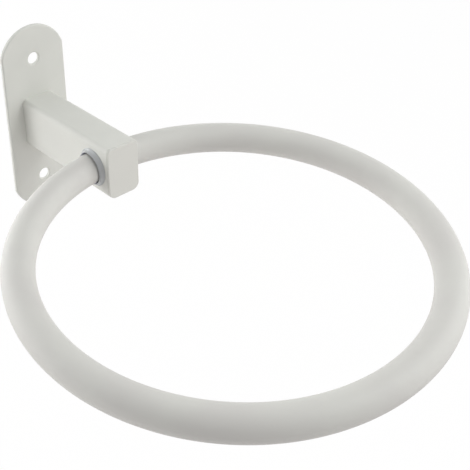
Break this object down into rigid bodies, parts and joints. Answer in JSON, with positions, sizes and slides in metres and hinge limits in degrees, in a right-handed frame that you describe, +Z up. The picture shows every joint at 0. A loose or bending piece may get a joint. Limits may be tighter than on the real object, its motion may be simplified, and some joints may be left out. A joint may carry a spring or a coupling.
{
  "type": "towel ring",
  "caption": "Wall-mounted towel ring: flat plate with arched ends, box-section arm and a large round-tube ring that swings in plastic bushes near the arm's end.",
  "frame": {"origin": "centre of the wall plate's back face, on the wall, midway between the screw holes and level with the arm's axis", "axes": "+Z up, +Y into the wall, +X to the right of someone facing the wall; the arm and the ring reach out along -Y"},
  "size_m": [0.2159, 0.2735, 0.114],
  "materials": {
    "powder_coat": "satin white powder coat",
    "cap_plastic": "matt white moulded plastic",
    "bush_plastic": "unpigmented translucent plastic, faintly blue",
    "spigot_steel": "bright drawn steel"
  },
  "bodies": {
    "bracket": {"wall_plate": "powder_coat", "arm_tube": "powder_coat", "arm_end_cap": "cap_plastic", "left_bush": "bush_plastic", "right_bush": "bush_plastic"},
    "ring": {"ring": "powder_coat", "ring_spigot": "spigot_steel"}
  },
  "joints": [
    {"name": "ring_swing", "type": "hinge", "parent": "bracket", "child": "ring", "pos_m": [0, -0.0665, 0], "axis": [1, 0, 0], "range_deg": [-110, 102.5]}
  ]
}
